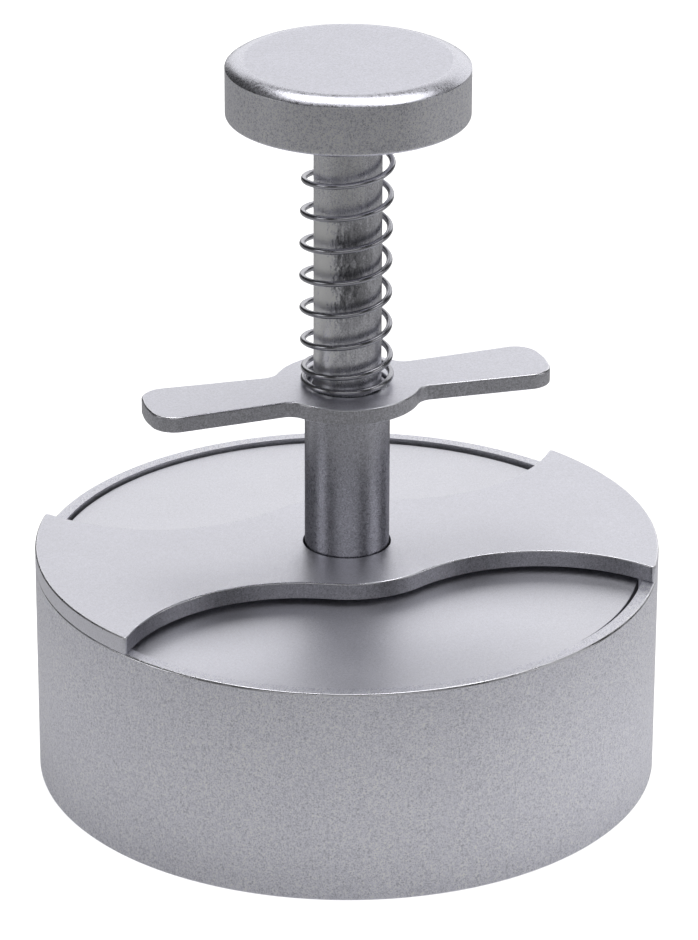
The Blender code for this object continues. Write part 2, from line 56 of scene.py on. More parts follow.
# ------------------------------------------------------------------ materials
class Finish:
    """A procedural material: a Principled BSDF and the nodes that feed it."""

    def __init__(self, name, metallic=1.0, specular=0.5, anisotropic=0.0, rim_tint=1.0):
        self.material = bpy.data.materials.new(name)
        self.material.use_nodes = True
        self.tree = self.material.node_tree
        self.shader = self.tree.nodes["Principled BSDF"]
        self.shader.inputs["Metallic"].default_value = metallic
        self.shader.inputs["Specular IOR Level"].default_value = specular
        self.shader.inputs["Anisotropic"].default_value = anisotropic
        self.shader.inputs["Specular Tint"].default_value = (rim_tint, rim_tint, rim_tint, 1.0)
        self.place = self.node("ShaderNodeTexCoord").outputs["Object"]

    def node(self, kind, **settings):
        made = self.tree.nodes.new(kind)
        for key, value in settings.items():
            setattr(made, key, value)
        return made

    def feed(self, socket, value):
        if hasattr(value, "is_output"):
            self.tree.links.new(value, socket)
        else:
            socket.default_value = value

    def math(self, operation, a, b=0.0, c=None, clamp=False):
        made = self.node("ShaderNodeMath", operation=operation, use_clamp=clamp)
        self.feed(made.inputs[0], a)
        self.feed(made.inputs[1], b)
        if c is not None:
            self.feed(made.inputs[2], c)
        return made.outputs[0]

    def stretched(self, scale, shift=(0.0, 0.0, 0.0)):
        made = self.node("ShaderNodeMapping")
        self.feed(made.inputs["Vector"], self.place)
        made.inputs["Scale"].default_value = scale
        made.inputs["Location"].default_value = shift
        return made.outputs["Vector"]

    def noise(self, size, detail=2.0, rough=0.5, vector=None, distortion=0.0):
        """Fractal noise whose features are about size metres across, 0 to 1."""
        made = self.node("ShaderNodeTexNoise")
        self.feed(made.inputs["Vector"], self.place if vector is None else vector)
        made.inputs["Scale"].default_value = 1.0 / size
        made.inputs["Detail"].default_value = detail
        made.inputs["Roughness"].default_value = rough
        made.inputs["Distortion"].default_value = distortion
        return made.outputs["Fac"]

    def spread(self, value, low, high, to_low, to_high, smooth=False):
        made = self.node("ShaderNodeMapRange", clamp=True)
        if smooth:
            made.interpolation_type = "SMOOTHSTEP"
        self.feed(made.inputs["Value"], value)
        for socket, number in zip(
            ("From Min", "From Max", "To Min", "To Max"), (low, high, to_low, to_high)
        ):
            self.feed(made.inputs[socket], number)
        return made.outputs["Result"]

    def mix(self, factor, a, b):
        made = self.node("ShaderNodeMix", data_type="RGBA")
        self.feed(made.inputs["Factor"], factor)
        for socket, value in (("A", a), ("B", b)):
            target = [s for s in made.inputs if s.name == socket and s.type == "RGBA"][0]
            self.feed(target, value if hasattr(value, "is_output") else (*value, 1.0))
        return [s for s in made.outputs if s.type == "RGBA"][0]

    def shade(self, colour, factor):
        """colour times factor."""
        made = self.node("ShaderNodeVectorMath", operation="SCALE")
        self.feed(made.inputs[0], colour if hasattr(colour, "is_output") else colour)
        self.feed(made.inputs["Scale"], factor)
        return made.outputs["Vector"]

    def bump(self, height, distance, strength=1.0, under=None):
        made = self.node("ShaderNodeBump")
        made.inputs["Strength"].default_value = strength
        made.inputs["Distance"].default_value = distance
        self.feed(made.inputs["Height"], height)
        if under is not None:
            self.feed(made.inputs["Normal"], under)
        return made.outputs["Normal"]

    def done(self, colour, roughness, normal=None):
        self.feed(
            self.shader.inputs["Base Color"],
            colour if hasattr(colour, "is_output") else (*colour, 1.0),
        )
        self.feed(self.shader.inputs["Roughness"], roughness)
        if normal is not None:
            self.feed(self.shader.inputs["Normal"], normal)
        return self.material


def satin(name, colour, roughness, speckle=0.13, grain=0.24 * MM, cloud=0.03, pitting=0.014 * MM, rim_tint=1.0):
    """Bead-blasted, clear-anodised aluminium: a fine bright and dark speckle,
    small pits, and a faint unevenness over centimetres."""
    f = Finish(name, rim_tint=rim_tint)
    fine = f.noise(grain, detail=1.5, rough=0.6)
    coarse = f.noise(grain * 2.6, detail=2.0, rough=0.55)
    wide = f.noise(14 * MM, detail=2.0)
    both = f.math("ADD", f.math("MULTIPLY", fine, 0.68), f.math("MULTIPLY", coarse, 0.32))
    tone = f.spread(both, 0.30, 0.70, 1.0 - speckle, 1.0 + speckle)
    tone = f.math("MULTIPLY", tone, f.spread(wide, 0.3, 0.7, 1.0 - cloud, 1.0 + cloud))
    rough = f.spread(coarse, 0.3, 0.7, roughness - 0.05, roughness + 0.05)
    rough = f.math("ADD", rough, f.spread(wide, 0.3, 0.7, -0.02, 0.02))
    normal = f.bump(both, pitting)
    return f.done(f.shade(colour, tone), rough, normal)


def cut_edge(name, colour, roughness=0.24):
    """The broken edge left by the cutter: smoother and brighter than the
    blasted faces, with small nicks and dull places along it."""
    f = Finish(name)
    nicks = f.noise(0.55 * MM, detail=3.0, rough=0.65)
    along = f.noise(5 * MM, detail=3.0, rough=0.6)
    tone = f.spread(nicks, 0.30, 0.50, 0.84, 1.05)
    rough = f.spread(along, 0.35, 0.65, roughness - 0.06, roughness + 0.16)
    normal = f.bump(nicks, 0.012 * MM)
    return f.done(f.shade(colour, tone), rough, normal)


def rod_finish(name, colour, roughness):
    """The plunger's rod: a painted highlight brightens one side and painted shade darkens
    its right side; it is stained dark and mottled beside the highlight over the length
    that goes through the sleeve, with fine streaks along its axis everywhere."""
    f = Finish(name, rim_tint=0.7)
    height = f.node("ShaderNodeSeparateXYZ")
    f.feed(height.inputs[0], f.place)
    z = height.outputs["Z"]

    def toward(direction):
        made = f.node("ShaderNodeVectorMath", operation="DOT_PRODUCT")
        f.feed(made.inputs[0], f.place)
        made.inputs[1].default_value = direction
        return f.math("DIVIDE", made.outputs["Value"], 6.35 * MM)

    across = toward((0.953, -0.304, 0.0))
    facing = f.spread(toward((-0.304, -0.953, 0.0)), -0.1, 0.1, 0.0, 1.0, smooth=True)
    length = f.math(
        "MULTIPLY",
        f.spread(z, 89 * MM, 98 * MM, 0.30, 1.0, smooth=True),
        f.spread(z, 108 * MM, 117 * MM, 1.0, 0.0, smooth=True),
    )
    grain = f.noise(0.26 * MM, detail=2.0, rough=0.6)
    mottle = f.noise(0.8 * MM, detail=4.0, rough=0.7, vector=f.stretched((1.0, 1.0, 0.35)), distortion=0.5)
    streaks = f.noise(0.42 * MM, detail=3.0, rough=0.65, vector=f.stretched((1.0, 1.0, 0.08)))
    ragged = f.math("ADD", across, f.spread(mottle, 0.3, 0.7, -0.34, 0.34))
    band = f.math(
        "MULTIPLY",
        f.spread(ragged, -0.60, -0.05, 0.0, 1.0, smooth=True),
        f.spread(ragged, 0.35, 0.80, 1.0, 0.0, smooth=True),
    )
    band = f.math("MULTIPLY", f.math("MULTIPLY", band, facing), length)
    stain = f.math("MULTIPLY", band, f.spread(mottle, 0.34, 0.60, 0.45, 1.0))
    scuff = f.math("MULTIPLY", f.spread(streaks, 0.52, 0.68, 0.0, 0.45), length)
    marks = f.math("MAXIMUM", stain, scuff)
    # painted highlight: the left front side is made brighter over the middle of the rod's length
    painted_highlight = f.math("MULTIPLY", f.math("MULTIPLY", f.spread(ragged, -0.75, -0.20, 1.0, 0.0, smooth=True), facing), length)
    tone = f.math("MULTIPLY", f.spread(grain, 0.3, 0.7, 0.66, 1.30), f.spread(streaks, 0.3, 0.7, 0.88, 1.12))
    tone = f.math("MULTIPLY", tone, f.math("ADD", 1.0, f.math("MULTIPLY", painted_highlight, 0.55)))
    # painted shade: the rod's colour is darker toward its right side
    tone = f.math("MULTIPLY", tone, f.spread(across, 0.35, 0.70, 1.0, 0.72, smooth=True))
    clean = f.shade(colour, tone)
    dull = f.shade(tuple(0.20 * c for c in colour), tone)
    shown = f.mix(marks, clean, dull)
    rough = f.math("ADD", f.spread(mottle, 0.35, 0.65, roughness - 0.05, roughness + 0.06), f.math("MULTIPLY", marks, 0.08))
    rough = f.math("ADD", rough, f.math("MULTIPLY", painted_highlight, 0.08))
    normal = f.bump(f.math("ADD", grain, f.math("MULTIPLY", marks, -0.6)), 0.012 * MM)
    return f.done(shown, rough, normal)


def wire_finish(name, colour, roughness):
    """Hard-drawn spring wire: polished, with faint flecks and roughness that varies a little."""
    f = Finish(name)
    fleck = f.noise(0.35 * MM, detail=3.0, rough=0.6)
    wide = f.noise(3.0 * MM, detail=2.0)
    tone = f.spread(fleck, 0.3, 0.7, 0.88, 1.10)
    rough = f.math("ADD", f.spread(wide, 0.3, 0.7, roughness - 0.04, roughness + 0.06), f.spread(fleck, 0.4, 0.7, 0.0, 0.05))
    return f.done(f.shade(colour, tone), rough, f.bump(fleck, 0.0025 * MM))


def steel_finish(name, colour, roughness):
    """Turned stainless fixings: fine rings about the axis and a light speckle."""
    f = Finish(name)
    rings = f.noise(0.14 * MM, detail=1.0, vector=f.stretched((0.25, 0.25, 1.0)))
    speck = f.noise(0.4 * MM, detail=3.0)
    tone = f.math("MULTIPLY", f.spread(rings, 0.3, 0.7, 0.93, 1.06), f.spread(speck, 0.3, 0.7, 0.94, 1.05))
    rough = f.spread(speck, 0.3, 0.7, roughness - 0.05, roughness + 0.06)
    return f.done(f.shade(colour, tone), rough, f.bump(rings, 0.006 * MM))


def rubber_finish(name, colour):
    f = Finish(name, metallic=0.0, specular=0.35)
    grain = f.noise(0.2 * MM, detail=2.0)
    bloom = f.noise(2.5 * MM, detail=3.0)
    shown = f.mix(f.spread(bloom, 0.45, 0.7, 0.0, 0.5), colour, tuple(2.4 * c for c in colour))
    return f.done(shown, f.spread(grain, 0.3, 0.7, 0.62, 0.80), f.bump(grain, 0.01 * MM))


RING_SATIN = satin("ring_satin_aluminium", (0.83, 0.83, 0.91), 0.44, speckle=0.42, grain=0.25 * MM)
RING_INNER_SHADE = satin("ring_inner_wall_painted_shade", (0.66, 0.66, 0.71), 0.46, speckle=0.20)
PLATE_SATIN = satin("plate_satin_aluminium", (0.86, 0.86, 0.92), 0.42, speckle=0.15)
PLATE_RIM_SHADE = satin("plate_side_wall_painted_shade", (0.48, 0.48, 0.52), 0.48, speckle=0.20)
BRIDGE_SATIN = satin("bridge_satin_aluminium", (0.82, 0.82, 0.885), 0.42, speckle=0.15)
BRIDGE_SIDE_SHADE = satin("bridge_sawn_side_painted_shade", (0.46, 0.46, 0.50), 0.40, speckle=0.42, grain=0.25 * MM)
WING_SATIN = satin("wing_satin_aluminium", (0.80, 0.80, 0.865), 0.42, speckle=0.14)
WING_SIDE_SHADE = satin("wing_sawn_side_painted_shade", (0.56, 0.56, 0.60), 0.40, speckle=0.42, grain=0.25 * MM)
SLEEVE_SATIN = satin("sleeve_satin_aluminium", (0.54, 0.54, 0.59), 0.29, speckle=0.40, grain=0.26 * MM, rim_tint=0.35)
KNOB_SATIN = satin("knob_satin_aluminium", (0.78, 0.78, 0.85), 0.42, speckle=0.18)
KNOB_SIDE_LIT = satin("knob_side_satin_painted_light", (0.88, 0.88, 0.95), 0.42, speckle=0.42, grain=0.25 * MM)
KNOB_CROWN = satin("knob_turned_crown", (0.76, 0.76, 0.83), 0.29, speckle=0.22, pitting=0.022 * MM)
EDGE_BRIGHT = cut_edge("cut_edge_aluminium", (0.88, 0.88, 0.93))
ROD_WORN_PAINTED_LIGHT = rod_finish("rod_worn_aluminium", (0.94, 0.94, 1.0), 0.30)
SPRING_STEEL = wire_finish("spring_steel_wire", (0.50, 0.50, 0.54), 0.20)
FIXING_STEEL = steel_finish("fixing_steel_turned", (0.60, 0.60, 0.61), 0.28)
STOP_RUBBER = rubber_finish("stop_rubber_black", (0.022, 0.022, 0.023))


# ------------------------------------------------------------- shape helpers
def wave(t, seed):
    """A smooth closed wobble between about -1 and 1 for t from 0 to 1."""
    total = 0.0
    for k, (cycles, share) in enumerate(((7, 0.35), (17, 0.30), (41, 0.22), (97, 0.13))):
        total += share * math.sin(math.tau * cycles * t + 1.7 * seed + 2.3 * k * (seed + 1))
    return total


def corner_arc(before, at, after, radius, steps):
    """Points that round the corner at, between its neighbours."""
    at, before, after = Vector(at), Vector(before), Vector(after)
    a, b = before - at, after - at
    room = 0.49 * min(a.length, b.length)
    a.normalize()
    b.normalize()
    half = a.angle(b) / 2
    run = min(radius / math.tan(half), room)
    radius = run * math.tan(half)
    centre = at + (a + b).normalized() * (radius / math.sin(half))
    first, last = at + a * run - centre, at + b * run - centre
    start = math.atan2(first.y, first.x)
    sweep = math.atan2(last.y, last.x) - start
    sweep = (sweep + math.pi) % math.tau - math.pi
    return [
        (
            centre.x + radius * math.cos(start + sweep * i / steps),
            centre.y + radius * math.sin(start + sweep * i / steps),
        )
        for i in range(steps + 1)
    ]


def round_profile(profile, closed):
    """(radius, height, rounding, steps, edge) corners to points.  Each point
    carries whether the face after it belongs to a broken edge."""
    points, marks = [], []
    count = len(profile)
    for i, (r, z, rounding, steps, edge) in enumerate(profile):
        if rounding <= 0 or (not closed and i in (0, count - 1)):
            points.append((r, z))
            marks.append(False)
            continue
        before, after = profile[i - 1][:2], profile[(i + 1) % count][:2]
        made = corner_arc(before, (r, z), after, rounding, steps)
        points += made
        marks += [edge] * (len(made) - 1) + [False]
    return points, marks


def new_object(name, mesh, *materials):
    obj = bpy.data.objects.new(name, mesh)
    bpy.context.scene.collection.objects.link(obj)
    for one in materials:
        mesh.materials.append(one)
    return obj


def smooth(obj, sharp=32.0, weighted=True):
    obj.data.shade_smooth()
    obj.data.set_sharp_from_angle(angle=math.radians(sharp))
    if weighted:
        even = obj.modifiers.new("even_shading", "WEIGHTED_NORMAL")
        even.mode = "FACE_AREA"
        even.weight = 60
        even.keep_sharp = True
    return obj


def turned(name, profile, steps, materials, closed=True, wobble=None, split=1):
    """A piece turned about Z from rounded (radius, height) corners.  wobble
    gives small changes of radius along the turn.  Long faces are split."""
    points, marks = round_profile(profile, closed)
    if split > 1:
        fine, fine_marks = [], []
        for i, (p, mark) in enumerate(zip(points, marks)):
            fine.append(p)
            fine_marks.append(mark)
            if i == len(points) - 1 and not closed:
                break
            q = points[(i + 1) % len(points)]
            if math.dist(p, q) > 4 * MM:
                for k in range(1, split):
                    fine.append(tuple(a + (b - a) * k / split for a, b in zip(p, q)))
                    fine_marks.append(mark)
        points, marks = fine, fine_marks
    shape = bmesh.new()
    rings = []
    for r, z in points:
        if r < 1e-7:
            rings.append([shape.verts.new((0.0, 0.0, z))])
            continue
        ring = []
        for k in range(steps):
            angle = math.tau * k / steps
            radius = r + (wobble(k / steps, r, z) if wobble else 0.0)
            ring.append(shape.verts.new((radius * math.cos(angle), radius * math.sin(angle), z)))
        rings.append(ring)
    last = len(points) if closed else len(points) - 1
    for i in range(last):
        low, high = rings[i], rings[(i + 1) % len(points)]
        for k in range(steps):
            m = (k + 1) % steps
            corners = [low[k % len(low)], low[m % len(low)], high[m % len(high)], high[k % len(high)]]
            face_corners = []
            for vert in corners:
                if vert not in face_corners:
                    face_corners.append(vert)
            if len(face_corners) < 3:
                continue
            face = shape.faces.new(face_corners)
            face.material_index = 1 if marks[i] and len(materials) > 1 else 0
    bmesh.ops.recalc_face_normals(shape, faces=shape.faces)
    mesh = bpy.data.meshes.new(name)
    shape.to_mesh(mesh)
    shape.free()
    return smooth(new_object(name, mesh, *materials))


def arc(centre, radius, start, end, count):
    return [
        (
            centre[0] + radius * math.cos(start + (end - start) * i / count),
            centre[1] + radius * math.sin(start + (end - start) * i / count),
        )
        for i in range(count + 1)
    ]


def four_fold(quarter):
    left = [(-x, y) for x, y in reversed(quarter)]
    upper = quarter + left
    lower = [(x, -y) for x, y in reversed(upper)]
    outline = []
    for point in upper + lower:
        if not outline or math.dist(point, outline[-1]) > 1e-6:
            outline.append(point)
    if math.dist(outline[0], outline[-1]) < 1e-6:
        outline.pop()
    return outline


def into_material(outline):
    """The direction at each point of a counter-clockwise outline that leads
    into the plate."""
    found = []
    count = len(outline)
    for i, point in enumerate(outline):
        before, after = Vector(outline[i - 1]), Vector(outline[(i + 1) % count])
        here = Vector(point)
        a, b = (here - before).normalized(), (after - here).normalized()
        way = a + b
        normal = Vector((-way.y, way.x)).normalized()
        found.append(normal / max(0.5, normal.dot(Vector((-a.y, a.x)))))
    return found


def flat_piece(name, outline, hole_r, base, top, materials, edge, seed, hole_edge=0.12 * MM, low_share=1.0):
    """A plate cut to an outline, with a round hole and broken edges whose
    width varies a little, as a hand-broken edge does."""
    shape = bmesh.new()
    steps = 4

    def wall(points, inward, widths, edge_marked):
        count = len(points)
        loops, marks = [], []
        rows = [("low", k) for k in range(steps, -1, -1)] + [("high", k) for k in range(steps + 1)]
        for side, k in rows:
            phi = math.pi / 2 * k / steps
            loop = []
            for (x, y), way, e in zip(points, inward, widths):
                cut = e * low_share if side == "low" else e
                set_in = cut * (1 - math.cos(phi))
                drop = cut * (1 - math.sin(phi))
                z = base + drop if side == "low" else top - drop
                loop.append(shape.verts.new((x + way.x * set_in, y + way.y * set_in, z)))
            loops.append(loop)
        for j in range(len(loops) - 1):
            marked = edge_marked and j != steps
            for i in range(count):
                n = (i + 1) % count
                face = shape.faces.new((loops[j][i], loops[j][n], loops[j + 1][n], loops[j + 1][i]))
                face.material_index = 1 if marked else 0
        return loops[0], loops[-1]

    inward = into_material(outline)
    total = len(outline)
    widths = [edge * (1 + 0.14 * wave(i / total, seed)) for i in range(total)]
    outer_low, outer_high = wall(outline, inward, widths, True)
    sides = 128
    hole = [(hole_r * math.cos(math.tau * k / sides), hole_r * math.sin(math.tau * k / sides)) for k in range(sides)]
    hole_in = [Vector(p).normalized() for p in hole]
    hole_low, hole_high = wall(hole, hole_in, [hole_edge] * sides, False)
    for outer, inner in ((outer_low, hole_low), (outer_high, hole_high)):
        both = outer + inner
        for tri in tessellate_polygon([[v.co for v in outer], [v.co for v in inner]]):
            try:
                shape.faces.new([both[i] for i in tri])
            except ValueError:
                pass
    bmesh.ops.recalc_face_normals(shape, faces=shape.faces)
    mesh = bpy.data.meshes.new(name)
    shape.to_mesh(mesh)
    shape.free()
    return new_object(name, mesh, *materials)


def drill(obj, radius, low, high, axis="Z", x=0.0, y=0.0, z=0.0, sides=32):
    """Cuts a round hole and applies it."""
    shape = bmesh.new()
    bmesh.ops.create_cone(shape, cap_ends=True, segments=sides, radius1=radius, radius2=radius, depth=high - low)
    middle = (low + high) / 2
    if axis == "Z":
        bmesh.ops.translate(shape, vec=(x, y, middle), verts=shape.verts)
    else:
        bmesh.ops.rotate(shape, cent=(0, 0, 0), matrix=Matrix.Rotation(math.pi / 2, 3, "X"), verts=shape.verts)
        bmesh.ops.translate(shape, vec=(x, middle, z), verts=shape.verts)
    bmesh.ops.recalc_face_normals(shape, faces=shape.faces)
    mesh = bpy.data.meshes.new("drill")
    shape.to_mesh(mesh)
    shape.free()
    tool = new_object("drill", mesh, obj.data.materials[0])
    boolean = obj.modifiers.new("drilled", "BOOLEAN")
    boolean.operation = "DIFFERENCE"
    boolean.solver = "EXACT"
    boolean.object = tool
    bpy.context.view_layer.update()
    graph = bpy.context.evaluated_depsgraph_get()
    solid = bpy.data.meshes.new_from_object(obj.evaluated_get(graph))
    obj.modifiers.remove(boolean)
    old = obj.data
    obj.data = solid
    solid.name = old.name + "_drilled"
    bpy.data.objects.remove(tool, do_unlink=True)
    return obj


def paint(piece, material, test):
    """Gives the faces that pass the test another material."""
    mesh = piece.data
    mesh.materials.append(material)
    index = len(mesh.materials) - 1
    for face in mesh.polygons:
        x, y, z = face.center
        if test(math.hypot(x, y), z, face.normal):
            face.material_index = index
    return piece


def settle(piece, body, node):
    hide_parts(node)
    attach(piece, body)
    return piece


# ------------------------------------------------------------------ mould ring
R, WALL, H = 59.0 * MM, 2.6 * MM, 42.0 * MM
C = 0.35 * MM
ring = turned(
    "mould_ring_fine",
    [
        (R, H, 0.45 * MM, 8, True),
        (R, C, 0.12 * MM, 3, True),
        (R - C, 0.0, 0.12 * MM, 3, True),
        (R - WALL + C, 0.0, 0.12 * MM, 3, True),
        (R - WALL, C, 0.12 * MM, 3, True),
        (R - WALL, H, 0.10 * MM, 3, False),
    ],
    360,
    (RING_SATIN, EDGE_BRIGHT),
    wobble=lambda t, r, z: 0.03 * MM * wave(t, 1) if H - 0.7 * MM < z < H - 0.01 * MM and r > R - 1 * MM else 0.0,
    split=6,
)
PIN_SEAT = R - WALL / 2
PIN_ANGLES = [math.radians(v) for v in (17.0, 163.0, 197.0, -17.0)]
for turn in PIN_ANGLES:
    drill(ring, 0.9 * MM, H - 4.3 * MM, H + 2 * MM, x=PIN_SEAT * math.cos(turn), y=PIN_SEAT * math.sin(turn), sides=20)
# The inner wall gets a darker copy of the ring's satin: painted shade inside the ring.
paint(ring, RING_INNER_SHADE, lambda r, z, n: r < R - WALL + 0.05 * MM and abs(n.z) < 0.3)
smooth(ring)
settle(ring, "frame", "mould_ring")


# ---------------------------------------------------------------- bridge plate
def bridge_outline():
    hub, waist, direction, corner_run = 19.7 * MM, 32.83 * MM, math.radians(63.22), 1.3 * MM
    reach = hub + waist
    centre = (reach * math.cos(direction), reach * math.sin(direction))
    tip = direction - math.acos((R**2 + reach**2 - waist**2) / (2 * R * reach))
    corner = (R * math.cos(tip), R * math.sin(tip))
    corner_dir = math.atan2(corner[1] - centre[1], corner[0] - centre[0])
    end_arc = arc((0.0, 0.0), R, 0.0, tip - corner_run / R, 60)
    hollow = arc(centre, waist, corner_dir - corner_run / waist, direction - math.pi, 96)
    rounded = []
    for i in range(1, 10):
        t = i / 10
        rounded.append(
            tuple(
                (1 - t) ** 2 * a + 2 * t * (1 - t) * b + t**2 * d
                for a, b, d in zip(end_arc[-1], corner, hollow[0])
            )
        )
    bulge = arc((0.0, 0.0), hub, direction, math.pi / 2, 24)
    return four_fold(end_arc + rounded + hollow + bulge)


BRIDGE_LOW, BRIDGE_HIGH = 42.05 * MM, 45.3 * MM
bridge = flat_piece(
    "bridge_plate_fine", bridge_outline(), 8.3 * MM, BRIDGE_LOW, BRIDGE_HIGH,
    (BRIDGE_SATIN, EDGE_BRIGHT), 0.35 * MM, seed=3, low_share=0.23,
)
for turn in PIN_ANGLES:
    drill(bridge, 0.9 * MM, BRIDGE_LOW - 2 * MM, H + 2.3 * MM, x=PIN_SEAT * math.cos(turn), y=PIN_SEAT * math.sin(turn), sides=20)
# The side faces get a darker, coarser-grained copy of the satin: the grain is the sawn face, the darker colour is
# painted shade.
paint(bridge, BRIDGE_SIDE_SHADE, lambda r, z, n: 9 * MM < r < 58.4 * MM and abs(n.z) < 0.3)
smooth(bridge)
settle(bridge, "frame", "bridge_plate")


# ------------------------------------------------------------------- wing grip
def wing_outline():
    hub_r, half_length, root_half, root_x = 13.8 * MM, 38.95 * MM, 6.3 * MM, 14.0 * MM
    flare, corner, hollow_r = math.radians(2.9), 4.6 * MM, 3.5 * MM
    slope = math.tan(flare)
    tip_x = half_length - corner
    edge_y = root_half + (tip_x - root_x) * slope
    tip = arc((tip_x, edge_y - corner / math.cos(flare)), corner, 0.0, math.pi / 2 + flare, 28)
    lift = hollow_r / math.cos(flare)
    reach = hub_r + hollow_r
    rise = root_half - root_x * slope + lift
    a, b, k = 1 + slope**2, 2 * slope * rise, rise**2 - reach**2
    centre_x = (-b + math.sqrt(b**2 - 4 * a * k)) / (2 * a)
    centre = (centre_x, rise + slope * centre_x)
    toward_hub = math.atan2(centre[1], centre[0])
    hollow = arc(centre, hollow_r, flare - math.pi / 2, toward_hub - math.pi, 28)
    start, end = Vector(tip[-1]), Vector(hollow[0])
    straight = [tuple(start.lerp(end, i / 20)) for i in range(1, 20)]
    hub = arc((0.0, 0.0), hub_r, toward_hub, math.pi / 2, 28)
    foot = tip[0]
    bow = [
        (half_length + 0.25 * MM * (1 - (y / foot[1]) ** 2), y)
        for y in [foot[1] * i / 8 for i in range(8)]
    ]
    return four_fold(bow + tip + straight + hollow + hub)


WING_LOW, WING_HIGH = 74.9 * MM, 77.9 * MM
wing = flat_piece(
    "wing_grip_fine", wing_outline(), 7.8 * MM, WING_LOW, WING_HIGH,
    (WING_SATIN, EDGE_BRIGHT), 0.33 * MM, seed=5, hole_edge=0.2 * MM, low_share=0.5,
)
drill(wing, 1.05 * MM, 6.5 * MM, 15.8 * MM, axis="Y", z=76.4 * MM, sides=32)
# The side faces get a darker, coarser-grained copy of the satin: the grain is the sawn face, the darker colour is
# painted shade.
paint(wing, WING_SIDE_SHADE, lambda r, z, n: r > 9 * MM and abs(n.z) < 0.3)
smooth(wing)
settle(wing, "frame", "wing_grip")

# ---------------------------------------------------------------- guide sleeve
sleeve = turned(
    "guide_sleeve_fine",
    [
        (7.5 * MM, 77.4 * MM, 0.15 * MM, 3, True),
        (7.5 * MM, 74.6 * MM, 0.05 * MM, 2, False),
        (8.0 * MM, 74.6 * MM, 0.12 * MM, 3, True),
        (8.0 * MM, 40.05 * MM, 0.3 * MM, 3, True),
        (6.68 * MM, 40.05 * MM, 0.3 * MM, 3, True),
        (6.68 * MM, 77.4 * MM, 0.15 * MM, 3, True),
    ],
    160,
    (SLEEVE_SATIN, EDGE_BRIGHT),
    split=8,
)
settle(sleeve, "frame", "guide_sleeve")

# ------------------------------------------------------------------- lock ring
lock = turned(
    "sleeve_lock_ring_fine",
    [
        (11.0 * MM, 42.0 * MM, 0.2 * MM, 3, False),
        (11.0 * MM, 40.05 * MM, 0.2 * MM, 3, False),
        (8.3 * MM, 40.05 * MM, 0.1 * MM, 2, False),
        (8.3 * MM, 42.0 * MM, 0.1 * MM, 2, False),
    ],
    96,
    (FIXING_STEEL,),
)
slot_cut = bmesh.new()
bmesh.ops.create_cube(slot_cut, size=1.0)
bmesh.ops.scale(slot_cut, vec=(26 * MM, 2.0 * MM, 1.2 * MM), verts=slot_cut.verts)
bmesh.ops.translate(slot_cut, vec=(0.0, 0.0, 40.05 * MM), verts=slot_cut.verts)
slot_mesh = bpy.data.meshes.new("slot_cut")
slot_cut.to_mesh(slot_mesh)
slot_cut.free()
slot_tool = new_object("slot_cut", slot_mesh, FIXING_STEEL)
lock.modifiers.clear()
slotted = lock.modifiers.new("slotted", "BOOLEAN")
slotted.operation, slotted.solver, slotted.object = "DIFFERENCE", "EXACT", slot_tool
bpy.context.view_layer.update()
lock.data = bpy.data.meshes.new_from_object(lock.evaluated_get(bpy.context.evaluated_depsgraph_get()))
lock.modifiers.clear()
bpy.data.objects.remove(slot_tool, do_unlink=True)
smooth(lock)
settle(lock, "frame", "sleeve_lock_ring")

# ----------------------------------------------------------------- plunger rod
rod = turned(
    "plunger_rod_fine",
    [
        (0.0, 118.15 * MM, 0.0, 1, False),
        (3.3 * MM, 118.15 * MM, 0.1 * MM, 2, False),
        (3.3 * MM, 130.45 * MM, 0.1 * MM, 2, False),
        (6.35 * MM, 130.45 * MM, 0.4 * MM, 4, True),
        (6.35 * MM, 38.15 * MM, 0.4 * MM, 4, True),
        (2.7 * MM, 38.15 * MM, 0.1 * MM, 2, False),
        (2.7 * MM, 51.85 * MM, 0.1 * MM, 2, False),
        (0.0, 51.85 * MM, 0.0, 1, False),
    ],
    160,
    (ROD_WORN_PAINTED_LIGHT, EDGE_BRIGHT),
    closed=False,
    split=12,
)
settle(rod, "plunger", "plunger_rod")

# ----------------------------------------------------------------- press plate
P = 35.25 * MM


def off_centre(t, r, z):
    """The plate's rim sits a little to one side, within its clearance."""
    if r < 50 * MM:
        return 0.0
    x, y = math.cos(math.tau * t), math.sin(math.tau * t)
    rightward = x * 0.953 - y * 0.304
    backward = x * 0.304 + y * 0.953
    return (-0.30 * rightward - 0.24 * backward) * MM


plate = turned(
    "press_plate_fine",
    [
        (55.65 * MM, P + 6.0 * MM, 0.15 * MM, 4, False),
        (55.65 * MM, P, 0.3 * MM, 4, True),
        (5.0 * MM, P, 0.05 * MM, 2, False),
        (2.7 * MM, P + 2.3 * MM, 0.05 * MM, 2, False),
        (2.7 * MM, P + 2.6 * MM, 0.05 * MM, 2, False),
        (13.0 * MM, P + 2.6 * MM, 0.3 * MM, 3, False),
        (13.0 * MM, P + 6.0 * MM, 0.25 * MM, 3, True),
    ],
    360,
    (PLATE_SATIN, EDGE_BRIGHT),
    wobble=off_centre,
    split=6,
)
# The plate's side wall gets a darker copy of its satin: painted shade in the gap inside the ring.
paint(plate, PLATE_RIM_SHADE, lambda r, z, n: r > 54.9 * MM and abs(n.z) < 0.3)
settle(plate, "plunger", "press_plate")


